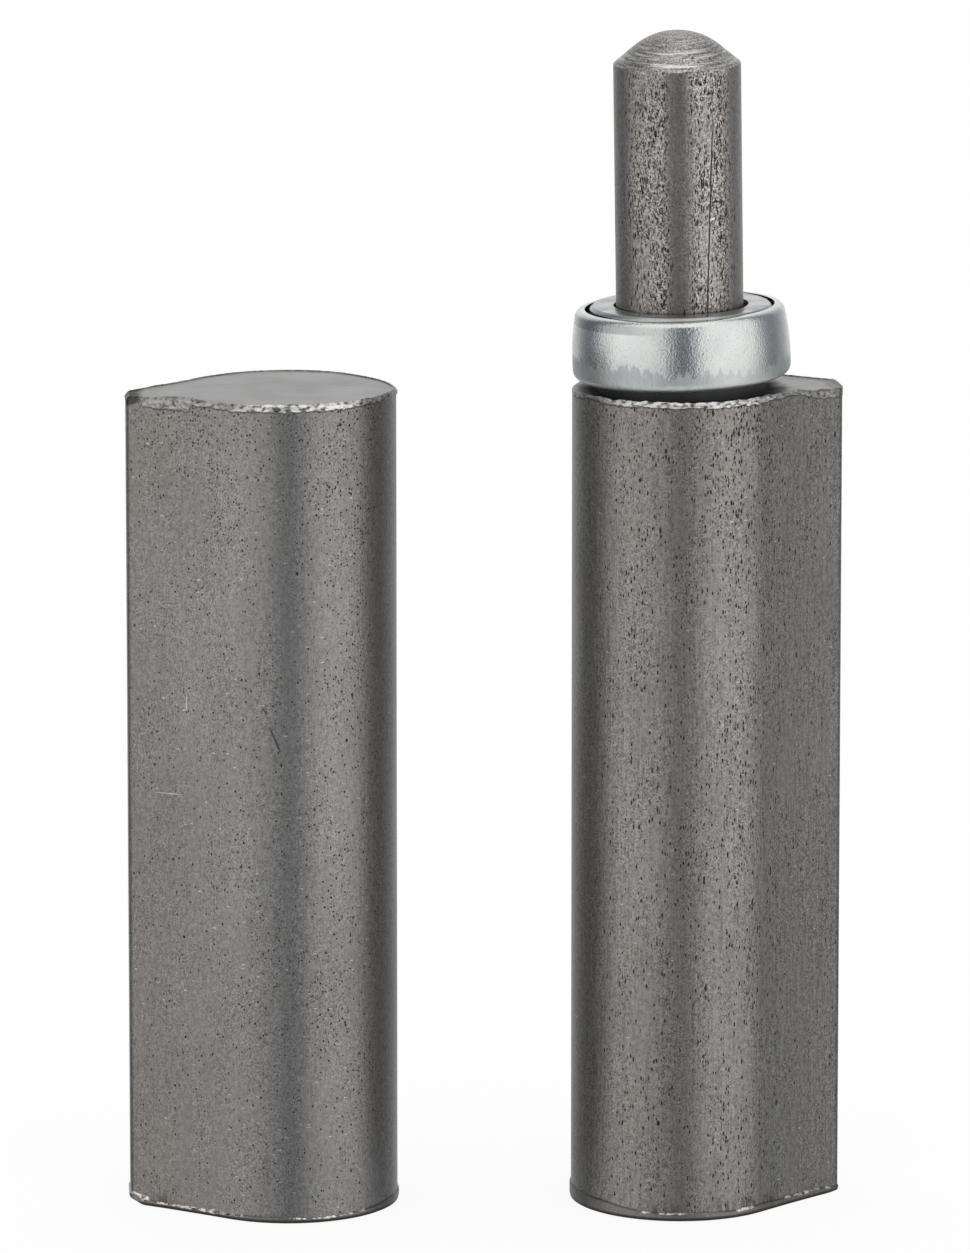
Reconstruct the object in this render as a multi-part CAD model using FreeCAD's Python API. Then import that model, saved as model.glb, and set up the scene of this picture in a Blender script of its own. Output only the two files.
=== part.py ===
import FreeCAD, Part
import math
import os

# Weld-on lift-off hinge with a thrust ball bearing, its two halves standing side by side.
# Millimetres, +Z up. The origin is the axis of the lower leaf's barrel, at its base.
# The lower half is a leaf, a pin pressed into it and a ball bearing that lies on it, round the pin.
# The upper half is one leaf with a blind bore, lifted off and stood on its open end.

# Leaves: both are cut from one drawn bar of drop-shaped section
barrel_radius = 10.0
nose_reach = 14.8          # barrel axis to the flat of the weld nose
nose_width = 3.9           # the nose's flat before its corners are rounded
nose_corner_radius = 0.9
flank_hollow_radius = 160.0
leaf_height = 76.1
lip_height = 0.8           # band that the cut left standing proud at both ends
lip_proud = 0.2
cut_edge_radius = 0.12

# Where the halves stand
halves_apart = 36.1
upper_leaf_back = -0.75
lower_nose_turn = 11.9     # degrees, from +X
upper_nose_turn = 183.0

# Pin: stock-size shank pressed in the leaf, journal turned down above the bearing
shank_radius = 6.0
journal_radius = 5.83
pin_standing_height = 33.4  # above the lower leaf's top
dome_height = 3.1
shank_seat_depth = 28.0
shank_end_chamfer = 0.8
journal_start_drop = 0.1   # the step lies this far below the bearing's top
press_interference = 0.01
seat_chip_room = 1.5
seat_mouth_chamfer = 0.4

# Blind bore of the upper leaf
running_clearance = 0.06
bore_end_room = 2.0
bore_mouth_chamfer = 0.6
drill_point_angle = 118.0

# Bearing: two turned races and loose balls, held together by a crimped sheet shell
bearing_height = 7.8
race_on_shank_clearance = 0.1
ball_radius = 1.5
ball_to_bore = 0.05
ball_to_shell = 0.2
rolling_clearance = 0.03
groove_radius_excess = 0.1
groove_depth = 0.5
race_edge_chamfer = 0.2
shell_wall = 0.65
shell_crown_radius = 22.0
shell_girth_height = 3.05  # widest place, above the leaf
shell_lift = 1.2           # open gap below the shell
shell_top_drop = 0.1       # the shell ends just below the race that carries the load
shell_top_round = 1.1
shell_bottom_round = 0.9
upper_lip_width = 0.8
lower_lip_width = 1.3
race_in_lip_clearance = 0.25
race_in_shell_clearance = 0.15
flange_chamfer_height = 0.8
flange_bottom_chamfer = 0.35

# Sizes that follow
journal_start = leaf_height + bearing_height - journal_start_drop
pin_tip = leaf_height + pin_standing_height
race_bore_radius = shank_radius + race_on_shank_clearance
pitch_radius = race_bore_radius + ball_to_bore + ball_radius
shell_bore_radius = pitch_radius + ball_radius + ball_to_shell
shell_radius = shell_bore_radius + shell_wall
ball_height = bearing_height / 2
race_face_gap = 2 * (ball_radius - groove_depth)
ball_half_angle = math.asin(ball_radius / pitch_radius)
ball_count = math.floor(math.pi / ball_half_angle)
drill_cone_slope = math.tan(math.radians(drill_point_angle / 2))

UP = FreeCAD.Vector(0, 0, 1)
CENTRE = FreeCAD.Vector(0, 0, 0)


def point(x, y, z=0.0):
    return FreeCAD.Vector(x, y, z)


def polar(radius, angle, centre=CENTRE):
    return centre + point(radius * math.cos(angle), radius * math.sin(angle))


def arc(centre, radius, start, end):
    middle = (start + end) / 2
    points = [polar(radius, angle, centre) for angle in (start, middle, end)]
    return Part.Arc(*points).toShape()


def turned(profile):
    """A solid of revolution from (radius, height) points joined by straight lines."""
    wire = Part.makePolygon([point(r, 0, z) for r, z in profile + profile[:1]])
    return Part.Face(wire).revolve(CENTRE, UP, 360)


def leaf_outline(grow, height):
    """The drop section as a wire: barrel, two slightly hollow flanks and a blunt nose.

    Each flank is a wide arc that touches the barrel from outside and ends at the nose's corner.
    """
    corner = point(nose_reach, nose_width / 2)
    to_centre = barrel_radius + flank_hollow_radius
    along = (to_centre**2 - flank_hollow_radius**2 + corner.Length**2) / (2 * corner.Length)
    across = math.sqrt(to_centre**2 - along**2)
    direction = corner.normalize()
    flank_centre = direction * along + point(-direction.y, direction.x) * across

    round_x = nose_reach - nose_corner_radius
    round_reach = flank_hollow_radius + nose_corner_radius
    round_y = flank_centre.y - math.sqrt(round_reach**2 - (flank_centre.x - round_x) ** 2)
    round_centre = point(round_x, round_y)
    meet = round_centre - flank_centre
    flank_end = math.atan2(meet.y, meet.x)
    barrel_turn = math.atan2(flank_centre.y, flank_centre.x)

    upper = [
        arc(round_centre, nose_corner_radius + grow, 0, flank_end + math.pi),
        arc(flank_centre, flank_hollow_radius - grow, flank_end, barrel_turn - math.pi),
    ]
    lower = [edge.mirror(CENTRE, point(0, 1)) for edge in upper]
    back = arc(CENTRE, barrel_radius + grow, barrel_turn, 2 * math.pi - barrel_turn)
    flat_x = nose_reach + grow
    flat = Part.makeLine(point(flat_x, -round_y), point(flat_x, round_y))
    edges = Part.sortEdges([flat, back] + upper + lower)[0]
    wire = Part.Wire(edges)
    wire.translate(point(0, 0, height))
    return wire


def leaf_slice(grow, bottom, thickness):
    return Part.Face(leaf_outline(grow, bottom)).extrude(UP * thickness)


def leaf_blank():
    """A length of the drawn bar with the proud band that the cut left at each end."""
    bar = leaf_slice(0, 0, leaf_height)
    for bottom, cut_level in ((0, 0), (leaf_height - lip_height, leaf_height)):
        lip = leaf_slice(lip_proud, bottom, lip_height)
        rim = [e for e in lip.Edges if level(e, cut_level)]
        bar = bar.fuse(lip.makeFillet(cut_edge_radius, rim))
    return bar.removeSplitter()


def level(edge, height):
    return all(abs(vertex.Z - height) < Part.Precision.confusion() for vertex in edge.Vertexes)


def drilled_hole(radius, depth, chamfer):
    """The space of a blind hole with a drill point, going up from its mouth at height 0."""
    wide = radius + chamfer
    point_depth = depth + radius / drill_cone_slope
    return turned(
        [(0, -chamfer), (wide + chamfer, -chamfer), (radius, chamfer), (radius, depth), (0, point_depth)]
    )


def turn_and_place(shape, degrees, place):
    shape.rotate(CENTRE, UP, degrees)
    shape.translate(place)
    return shape


def lower_leaf():
    hole = drilled_hole(shank_radius, shank_seat_depth + seat_chip_room, seat_mouth_chamfer)
    hole.rotate(CENTRE, point(1, 0), 180)
    hole.translate(UP * leaf_height)
    return turn_and_place(leaf_blank().cut(hole), lower_nose_turn, CENTRE)


def upper_leaf():
    reach = pin_standing_height - bearing_height
    hole = drilled_hole(journal_radius + running_clearance, reach + bore_end_room, bore_mouth_chamfer)
    place = point(-halves_apart, upper_leaf_back)
    return turn_and_place(leaf_blank().cut(hole), upper_nose_turn, place)


def hinge_pin():
    """Shank, journal and a domed tip that guides the upper leaf on."""
    bottom = leaf_height - shank_seat_depth
    grip = shank_radius + press_interference
    shoulder = pin_tip - dome_height
    outline = [
        point(0, 0, bottom),
        point(grip - shank_end_chamfer, 0, bottom),
        point(grip, 0, bottom + shank_end_chamfer),
        point(grip, 0, leaf_height),
        point(shank_radius, 0, leaf_height),
        point(shank_radius, 0, journal_start),
        point(journal_radius, 0, journal_start),
        point(journal_radius, 0, shoulder),
    ]
    dome_radius = (journal_radius**2 + dome_height**2) / (2 * dome_height)
    dome_half_turn = math.asin(journal_radius / dome_radius) / 2
    dome_middle = point(
        dome_radius * math.sin(dome_half_turn),
        0,
        pin_tip - dome_radius * (1 - math.cos(dome_half_turn)),
    )
    tip = point(0, 0, pin_tip)
    dome = Part.Arc(outline[-1], dome_middle, tip).toShape()
    edges = Part.makePolygon(outline).Edges + [dome, Part.makeLine(tip, outline[0])]
    return Part.Face(Part.Wire(edges)).revolve(CENTRE, UP, 360)


def crown_radius(height, inset=0.0):
    """Radius of the shell's bulged side at a height above the leaf, or inset from it."""
    rise = height - shell_girth_height
    bulge = shell_crown_radius - inset
    return shell_radius - shell_crown_radius + math.sqrt(bulge**2 - rise**2)


def barrel(inset):
    """The bulged body of the shell, or the space inside it, with rounded rims."""
    bottom = shell_lift + inset
    top = bearing_height - shell_top_drop - inset
    foot, girth, head = (
        point(crown_radius(z, inset), 0, z) for z in (bottom, shell_girth_height, top)
    )
    axis_foot, axis_head = point(0, 0, bottom), point(0, 0, top)
    side = Part.Arc(foot, girth, head).toShape()
    edges = [
        Part.makeLine(axis_foot, foot),
        side,
        Part.makeLine(head, axis_head),
        Part.makeLine(axis_head, axis_foot),
    ]
    body = Part.Face(Part.Wire(edges)).revolve(CENTRE, UP, 360)
    body = body.makeFillet(shell_top_round - inset, [e for e in body.Edges if level(e, top)])
    return body.makeFillet(shell_bottom_round - inset, [e for e in body.Edges if level(e, bottom)])


def upper_lip_radius():
    return crown_radius(bearing_height - shell_top_drop) - upper_lip_width


def lower_lip_radius():
    return crown_radius(shell_lift) - lower_lip_width


def bearing_shell():
    shell = barrel(0).cut(barrel(shell_wall))
    mid = bearing_height / 2
    lower_way = Part.makeCylinder(lower_lip_radius(), mid)
    upper_way = Part.makeCylinder(upper_lip_radius(), mid, UP * mid)
    return seated(shell.cut(lower_way).cut(upper_way))


def ball_groove(raised):
    radius = ball_radius + groove_radius_excess
    return Part.makeTorus(pitch_radius, radius, UP * (ball_height + raised))


def seated(shape):
    shape.translate(UP * leaf_height)
    return shape


def lower_race():
    """Rests on the leaf; its flange is gripped by the shell and carries the balls in a groove."""
    top = ball_height - race_face_gap / 2
    underside = shell_lift + shell_wall
    flange = crown_radius((underside + top) / 2, shell_wall) + press_interference
    foot = lower_lip_radius() - race_in_shell_clearance
    body = turned(
        [
            (race_bore_radius, 0),
            (foot, 0),
            (foot, underside),
            (flange - flange_bottom_chamfer, underside),
            (flange, underside + flange_bottom_chamfer),
            (flange, top),
            (race_bore_radius, top),
        ]
    )
    return seated(body.cut(ball_groove(groove_radius_excess - rolling_clearance)))


def upper_race():
    """Carries the upper leaf; its flange stays captive under the shell's lip and runs free."""
    bottom = ball_height + race_face_gap / 2
    boss = upper_lip_radius() - race_in_lip_clearance
    flange_top = bearing_height - shell_top_drop - shell_top_round
    chamfer_foot = flange_top - flange_chamfer_height
    flange = crown_radius(flange_top, shell_wall) - race_in_shell_clearance
    top_edge = boss - race_edge_chamfer
    bore_edge = race_bore_radius + race_edge_chamfer
    chamfer_top = bearing_height - race_edge_chamfer
    body = turned(
        [
            (race_bore_radius, bottom),
            (flange, bottom),
            (flange, chamfer_foot),
            (boss, flange_top),
            (boss, chamfer_top),
            (top_edge, bearing_height),
            (bore_edge, bearing_height),
            (race_bore_radius, chamfer_top),
        ]
    )
    return seated(body.cut(ball_groove(rolling_clearance - groove_radius_excess)))


def ball(index):
    centre = polar(pitch_radius, 2 * math.pi * index / ball_count)
    return seated(Part.makeSphere(ball_radius, centre + UP * ball_height))


nodes = {
    "lower_leaf": lower_leaf(),
    "upper_leaf": upper_leaf(),
    "hinge_pin": hinge_pin(),
    "bearing_shell": bearing_shell(),
    "lower_race": lower_race(),
    "upper_race": upper_race(),
}
for index in range(ball_count):
    nodes[f"ball_{index + 1:02d}"] = ball(index)

os.makedirs("parts", exist_ok=True)
for name, shape in nodes.items():
    shape.exportStep(f"parts/{name}.step")
    print(name, "valid" if shape.isValid() else "not valid", round(shape.Volume, 2), "mm3")
print("closed length", round(2 * leaf_height + bearing_height, 2), "mm")
print("balls", ball_count, "on a pitch radius of", round(pitch_radius, 2), "mm")
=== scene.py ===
# %% [markdown]
# # A weld-on lift-off hinge, lifted apart
# The object is a gate hinge of two steel halves that stand side by side. Each half is a length of drop-shaped
# drawn bar. The lower half has a pin pressed into it and a ball bearing round the pin, and the upper half is
# bored blind from below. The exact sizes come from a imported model, which is loaded first and never changed.

import math

import bpy
from mathutils import Matrix, Vector, noise


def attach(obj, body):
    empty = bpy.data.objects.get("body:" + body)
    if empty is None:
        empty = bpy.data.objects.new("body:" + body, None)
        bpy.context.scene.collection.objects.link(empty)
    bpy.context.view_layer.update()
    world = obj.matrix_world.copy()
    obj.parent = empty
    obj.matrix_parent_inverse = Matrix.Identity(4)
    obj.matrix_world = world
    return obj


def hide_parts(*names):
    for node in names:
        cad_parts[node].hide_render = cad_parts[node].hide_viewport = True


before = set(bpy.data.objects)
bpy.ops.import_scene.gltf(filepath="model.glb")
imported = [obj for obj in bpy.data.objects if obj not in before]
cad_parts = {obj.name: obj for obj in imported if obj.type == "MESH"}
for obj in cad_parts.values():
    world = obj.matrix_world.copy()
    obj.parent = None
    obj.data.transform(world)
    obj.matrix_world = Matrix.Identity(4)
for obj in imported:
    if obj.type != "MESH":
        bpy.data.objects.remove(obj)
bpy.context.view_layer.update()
MM = 0.001

# %% [markdown]
# ## The camera
# The photograph is taken from far away with a long lens, about 12 degrees above the horizon, so that upright
# edges stay parallel and the cut top of the left half shows as a thin drop. The camera could be aimed by eye.
# Here it is placed on an arc round the point it looks at, because its rise and its distance can then be
# corrected one at a time.

# %% Place the camera
LOOK_AT = Vector((-17.98, 0, 53.95)) * MM
CAMERA_RISE = math.radians(12.15)
CAMERA_DISTANCE = 1.1
PIXELS_PER_MM = 10.869
LONG_SIDE_PIXELS = 1253

bpy.ops.object.select_all(action="DESELECT")
bpy.ops.object.camera_add()
camera = bpy.context.object
camera.name = "product_camera"
back = Vector((0, -math.cos(CAMERA_RISE), math.sin(CAMERA_RISE)))
camera.location = LOOK_AT + back * CAMERA_DISTANCE
camera.rotation_euler = (-back).to_track_quat("-Z", "Y").to_euler()
camera.data.sensor_width = 36
camera.data.lens = PIXELS_PER_MM * CAMERA_DISTANCE / MM * camera.data.sensor_width / LONG_SIDE_PIXELS
camera.data.clip_end = 20
bpy.context.scene.camera = camera
print("lens in mm:", round(camera.data.lens, 1))

# %% [markdown]
# ## Helpers for working by hand
# Every operator in Blender acts on what is selected. Three small helpers keep that under control: one picks a
# single piece, one makes a piece of a single point, and one turns a finished line about an upright axis.

# %% Pick a piece, draw a line and turn it
def pick(piece):
    bpy.ops.object.select_all(action="DESELECT")
    piece.select_set(True)
    bpy.context.view_layer.objects.active = piece
    return piece


def edit(piece):
    pick(piece)
    bpy.ops.object.mode_set(mode="EDIT")


def done():
    bpy.ops.object.mode_set(mode="OBJECT")
    return bpy.context.object


def one_point(name, place):
    """A small plane merged to its middle leaves one point, in edit mode and selected."""
    bpy.ops.object.select_all(action="DESELECT")
    bpy.ops.mesh.primitive_plane_add(size=MM)
    bpy.context.object.name = name
    bpy.ops.object.mode_set(mode="EDIT")
    bpy.ops.mesh.merge(type="CENTER")
    bpy.ops.transform.translate(value=Vector(place) * MM)


def draw_to(step):
    bpy.ops.mesh.extrude_vertices_move(TRANSFORM_OT_translate={"value": Vector(step) * MM})


FROM_ABOVE = (0, 0, 1)
FROM_FRONT = (0, -1, 0)


def sweep(centre, degrees, steps, axis=FROM_ABOVE):
    """Draws an arc on from the selected point, anticlockwise as seen from the axis's side.

    Spin itself counts clockwise as positive, so the sign is turned.
    """
    bpy.ops.mesh.spin(steps=steps, angle=-math.radians(degrees), center=Vector(centre) * MM, axis=axis)


def turn_all(steps):
    """Turns the drawn line a whole round about the upright axis through the origin and closes the seam."""
    bpy.ops.mesh.select_all(action="SELECT")
    bpy.ops.mesh.spin(steps=steps, angle=math.radians(360), center=(0, 0, 0), axis=(0, 0, 1))
    bpy.ops.mesh.select_all(action="SELECT")
    bpy.ops.mesh.remove_doubles(threshold=0.002 * MM)
    bpy.ops.mesh.normals_make_consistent(inside=False)


def smooth(piece, degrees):
    pick(piece)
    bpy.ops.object.shade_smooth_by_angle(angle=math.radians(degrees))


def report(piece):
    mesh = piece.data
    print(piece.name, len(mesh.polygons), "faces,", [round(c / MM, 2) for c in piece.dimensions], "mm")


# %% [markdown]
# ## The drawn bar
# Both leaves are cut from one bar. Its section is a drop: a round barrel, two very slightly hollow flanks that
# touch the barrel, and a blunt nose that is welded to the gate. It could be traced with a curve. It is drawn
# here point by point with the spin tool instead, because every part of the section is an arc with a known
# centre, and arcs that touch each other leave no kink in the reflections.

# %% Sizes of the section
BARREL = 10.0
NOSE_REACH = 14.8
NOSE_HALF = 1.95
NOSE_ROUND = 0.9
FLANK_ROUND = 160.0
LEAF_HEIGHT = 76.1

nose_corner = Vector((NOSE_REACH, NOSE_HALF))
centres_apart = BARREL + FLANK_ROUND
along = (centres_apart**2 - FLANK_ROUND**2 + nose_corner.length_squared) / (2 * nose_corner.length)
across = math.sqrt(centres_apart**2 - along**2)
towards = nose_corner.normalized()
flank_centre = towards * along + Vector((-towards.y, towards.x)) * across
round_x = NOSE_REACH - NOSE_ROUND
round_y = flank_centre.y - math.sqrt((FLANK_ROUND + NOSE_ROUND) ** 2 - (flank_centre.x - round_x) ** 2)
barrel_turn = math.degrees(math.atan2(flank_centre.y, flank_centre.x))
nose_turn = math.degrees(math.atan2(round_y - flank_centre.y, round_x - flank_centre.x)) + 180
print("nose corner turns", round(nose_turn, 2), "and the barrel starts at", round(barrel_turn, 2), "degrees")


# %% Draw the section with arcs
POINT_GAP = 0.125


def draw_drop(name):
    one_point(name, (NOSE_REACH, 0, 0))
    flat_steps = 8
    for _ in range(flat_steps):
        draw_to((0, round_y / flat_steps, 0))
    corner_steps, flank_steps = 9, round(math.radians(nose_turn - barrel_turn) * FLANK_ROUND / POINT_GAP)
    sweep((round_x, round_y, 0), nose_turn, corner_steps)
    sweep((flank_centre.x, flank_centre.y, 0), barrel_turn - nose_turn, flank_steps)
    barrel_span = 360 - 2 * barrel_turn
    sweep((0, 0, 0), barrel_span, round(math.radians(barrel_span) * BARREL / POINT_GAP))
    sweep((flank_centre.x, -flank_centre.y, 0), barrel_turn - nose_turn, flank_steps)
    sweep((round_x, -round_y, 0), nose_turn, corner_steps)
    for _ in range(flat_steps):
        draw_to((0, round_y / flat_steps, 0))
    bpy.ops.mesh.select_all(action="SELECT")
    bpy.ops.mesh.remove_doubles(threshold=0.01 * MM)


# %% [markdown]
# The section is then raised row by row. The rows lie close together in the last millimetre of each end, where
# the cut tore the steel, and far apart along the plain sides, where nothing happens.

# %% Raise the bar in rows
END_ROUND = 0.1
FINE_ROW = 0.07
FINE_ROWS = 20


def row_steps():
    widening = [0.12, 0.2, 0.35, 0.6, 1.0, 1.8, 3.0]
    end = [FINE_ROW] * FINE_ROWS + widening
    middle = LEAF_HEIGHT - 2 * END_ROUND - 2 * sum(end)
    middle_rows = 10
    return end + [middle / middle_rows] * middle_rows + end[::-1]


def raise_bar():
    bpy.ops.transform.translate(value=(0, 0, END_ROUND * MM))
    for step in row_steps():
        bpy.ops.mesh.extrude_edges_move(TRANSFORM_OT_translate={"value": (0, 0, step * MM)})
    bpy.ops.mesh.select_all(action="SELECT")
    bpy.ops.mesh.normals_make_consistent(inside=False)


# %% [markdown]
# ## The cut ends
# The bar was cropped by a blade, not sawn. Each end bulges and slopes a little, and the blade pushed up a ragged
# burr of bright steel along the side where it came out. Near the nose a flake of it is folded down over the
# flank. At the foot the same cut left a thin smooth lip with a few bright flecks on its border. All of this could
# be colour alone, but it breaks the outline and catches the light, so it is real relief. The top is filled with
# rings that shrink towards the barrel's middle, because one large face could not bulge.

# %% Close the ends with shrinking rings
TOP_RINGS = [0.99, 0.98, 0.97, 0.955, 0.93, 0.89, 0.83, 0.75, 0.65, 0.52, 0.37, 0.2]
LIFTED_RINGS = 2


def take_ring(leaf, height):
    edit(leaf)
    bpy.ops.mesh.select_all(action="DESELECT")
    bpy.ops.object.mode_set(mode="OBJECT")
    for vertex in leaf.data.vertices:
        vertex.select = abs(vertex.co.z - height * MM) < 0.01 * MM
    bpy.ops.object.mode_set(mode="EDIT")


def close_foot(leaf):
    take_ring(leaf, END_ROUND)
    bpy.ops.mesh.edge_face_add()
    bpy.ops.mesh.normals_make_consistent(inside=False)
    bpy.ops.mesh.inset(thickness=END_ROUND * MM, depth=END_ROUND * MM)
    done()


def close_top(leaf):
    """The first rings go into a vertex group, because the burr lifts them and leaves the rest."""
    burr_top = leaf.vertex_groups.new(name="burr_top")
    take_ring(leaf, LEAF_HEIGHT - END_ROUND)
    middle = (0, 0, LEAF_HEIGHT * MM)
    width = 1.0
    for count, ring in enumerate(TOP_RINGS):
        rise = END_ROUND * MM if count == 0 else 0
        bpy.ops.mesh.extrude_edges_move(TRANSFORM_OT_translate={"value": (0, 0, rise)})
        bpy.ops.transform.resize(value=(ring / width, ring / width, 1), center_override=middle)
        width = ring
        if count < LIFTED_RINGS:
            bpy.ops.object.vertex_group_assign()
        elif count == LIFTED_RINGS:
            bpy.ops.object.vertex_group_remove_from()
    bpy.ops.mesh.extrude_edges_move(TRANSFORM_OT_translate={"value": (0, 0, 0)})
    bpy.ops.mesh.merge(type="CENTER")
    bpy.ops.mesh.select_all(action="SELECT")
    bpy.ops.mesh.normals_make_consistent(inside=False)
    done()


# %% Name the stretches of a cut end
# They are in millimetres along the section's x, from the barrel's axis towards the nose. Each runs from where a
# change starts to where it is complete, apart from the one behind the flank, which is a plain stretch. The two
# that name the blade run across the section, in y: to the blade's side and away from it.
TO_ROUND_END, TO_ROUND_TIP = (-4, -8), (-6, -9)
TO_NOSE, NOSE_EDGE, NOSE_CORNER = (9, 14.5), (14.4, 14.9), (14.2, 14.7)
BEHIND_FLANK = (8.4, 11.2)
TO_BLADE, FROM_BLADE = (-0.5, 2.5), (2.5, -2)
END_RISE, END_TILT = 0.2, 0.016


# %% Measure how ragged the cut is at a place on the outline
def ragged(place, seed, size):
    return noise.noise((place + Vector((seed * 7.3, seed * 3.1, seed * 5.7)) * MM) / (size * MM))


def fade(value, low, high):
    share = min(max((value - low) / (high - low), 0), 1)
    return share * share * (3 - 2 * share)


def span(value, low, high, soft=0.3):
    """1 inside the span and 0 outside it, with soft ends."""
    return fade(value, low - soft, low + soft) * fade(value, high + soft, high - soft)


def end_slope(x, y, cut):
    """Millimetres by which the cut top lies higher here: up at the blade's side, down and bent at the nose."""
    behind = span(x, *BEHIND_FLANK, 1.2) + 0.6 * fade(x, *TO_ROUND_END)
    behind = cut["behind_drop"] * behind * fade(y, *FROM_BLADE)
    bend = cut["nose_bend"] * fade(x, *NOSE_EDGE)
    return END_RISE + END_TILT * y - cut["nose_drop"] * fade(x, *TO_NOSE) - behind - bend


def burr_height(place, x, y, cut):
    waves = 1 + 0.3 * ragged(place, cut["seed"], 2.2) + 0.35 * ragged(place, cut["seed"] + 1, 0.6)
    low = 0.15 * span(x, *cut["dip"], 1.0) + cut["nose_front"] * fade(x, 9, 13.5)
    return (cut["burr"] * waves - low) * fade(y, *TO_BLADE)


def burr_root(place, x, y, cut):
    """Where the smeared steel begins, in millimetres above the plain end: near the nose a flake is folded down."""
    waves = 0.2 * ragged(place, cut["seed"] + 2, 2.4) + 0.15 * ragged(place, cut["seed"] + 3, 0.5)
    plain = cut["root"] - 0.55 * fade(y, 3.5, -1.5) + waves - 0.15 * span(x, *cut["dip"], 1.0)
    flake_from, flake_to, flake_length, flake_ends = cut["flake"]
    return plain - flake_length * span(x, flake_from, flake_to, flake_ends)


def lip_height(place, x, cut):
    """The lip at the foot is highest at the round end, low along the front and higher again at the nose."""
    at_round_end, along_front, at_nose = cut["lip"]
    to_end, to_nose = fade(x, -4, -10), fade(x, 12, 14.8)
    plain = along_front + (at_round_end - along_front) * to_end + (at_nose - along_front) * to_nose
    return plain + 0.08 * ragged(place, cut["seed"] + 4, 3.0) + 0.05 * ragged(place, cut["seed"] + 5, 0.6)


def fleck_depth(place, x, cut):
    """How many millimetres of bright torn steel show on the lip's border here."""
    reach = max((deep * span(x, low, high) for low, high, deep in cut["flecks"]), default=0)
    return reach * (1 + 1.2 * ragged(place, cut["seed"] + 6, 1.0) + 0.9 * ragged(place, cut["seed"] + 7, 0.3))


# %% Measure the lift, the flecks and the pits of a point
REACH = FINE_ROWS * FINE_ROW


def lift_of(place, x, y, depth, height, on_rim, cut):
    """How far the cut moves a point up, less and less down to nothing where the fine rows end."""
    rise = end_slope(x, y, cut) * fade(place.length / MM, cut["seat"], cut["seat"] + 0.9)
    if on_rim:
        rise += burr_height(place, x, y, cut)
    return rise * max(1 - depth / REACH, 0) + cut["tuck"] * fade(x, 13.5, 14.9) * max(1 - height / REACH, 0)


def fleck_share(deep, below_lip):
    """Flecks lie on both sides of the lip's border, and the thinnest fade away."""
    upper_half = fade(below_lip, -0.5 * deep - 0.03, -0.5 * deep + 0.05)
    return upper_half * (fade(below_lip, 0.5 * deep + 0.05, 0.5 * deep - 0.03) * fade(deep, 0.02, 0.1))


def pit_share(x, depth, below_lip, cut):
    """Few pits at the round end and on the rubbed flank, more towards the top and none on the lip."""
    worn_from, worn_to, more = cut["worn"]
    pitting = fade(x, -9.4, -6.8) * (1 - cut["flank_rubbed"] * fade(x, 6.5, 9.5))
    pitting += more * span(x, worn_from, worn_to, 1.0)
    near_top = 0.7 + 0.7 * fade(depth, 22, 3) + 0.7 * fade(depth, 4.5, 1)
    return pitting * near_top * (1 - fade(below_lip, -0.1, 0.1))


# %% Paint the cut ends
BORDER = 0.08


def paint_cuts(leaf, cut):
    """Fills the vertex groups that the displace modifiers use, and keeps what the finish needs as attributes.

    Cut marks hold how far a point lies above the band's border, how fresh its steel is and the painted shade at the
    nose's corner. Foot marks hold the bright flecks, how far a point lies below the lip's border and the smudges.
    Wear scales the pits.
    """
    groups = {name: leaf.vertex_groups.new(name=name) for name in ("raise", "sink", "smear", "foot")}
    burr_top = leaf.vertex_groups["burr_top"].index
    cut_marks, foot_marks, wear = [], [], []
    for vertex in leaf.data.vertices:
        place = Vector((vertex.co.x, vertex.co.y, 0))
        x, y = place.x / MM, cut["side"] * place.y / MM
        depth, height = LEAF_HEIGHT - vertex.co.z / MM, vertex.co.z / MM
        on_rim = vertex.normal.z < 0.5 or burr_top in {group.group for group in vertex.groups}
        rise = lift_of(place, x, y, depth, height, on_rim, cut)
        above_root = rise - depth - burr_root(place, x, y, cut)
        smear = fade(above_root, -BORDER, BORDER) * (1 - 0.6 * fade(x, *NOSE_CORNER)) if on_rim else 0
        smear *= 1 - cut["round_smooth"] * fade(x, *TO_ROUND_TIP)
        below_lip = lip_height(place, x, cut) - height
        foot = fade(below_lip, -BORDER, BORDER) * (1 - 0.5 * fade(height, 0.4, 0.1)) * (height > 0.05)
        for name, weight in (("raise", rise), ("sink", -rise), ("smear", smear), ("foot", foot)):
            groups[name].add([vertex.index], min(max(weight, 0), 1), "REPLACE")

        fresh_from, fresh_to, share = cut["fresh"]
        fresh = share * span(x, fresh_from, fresh_to, 1.5) * fade(y, 1.5, 4)
        # The nose's bent corner is painted dark: painted shade, kept for the band and for the end face.
        from_nose = math.hypot((NOSE_REACH - x) / 1.25, depth / 0.7) + 0.3 * ragged(place, cut["seed"] + 8, 0.7)
        nose_shade = cut["nose_painted_shade"] * fade(from_nose, 1.1, 0.85)
        cut_marks.extend((0.5 + min(max(above_root, -1), 1) / 2 * (y > -1), fresh, nose_shade))
        flecks = fleck_share(fleck_depth(place, x, cut), below_lip)
        dirt_and_shade = max(span(x, low, high, 0.8) for low, high in cut["smudges"]) * fade(below_lip, -1.5, -0.1)
        foot_marks.extend((flecks, 0.5 + min(max(below_lip, -1), 1) / 2, dirt_and_shade))
        wear.append(pit_share(x, depth, below_lip, cut))
    for name, values in (("cut_marks", cut_marks), ("foot_marks", foot_marks)):
        leaf.data.attributes.new(name, "FLOAT_VECTOR", "POINT").data.foreach_set("vector", values)
    leaf.data.attributes.new("wear", "FLOAT", "POINT").data.foreach_set("value", wear)


# %% Push the ends into shape
BAND_PROUD, CRUMBS_PROUD, LIP_PROUD, LIP_WAVES = 0.06, 0.09, 0.1, 0.08


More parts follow.
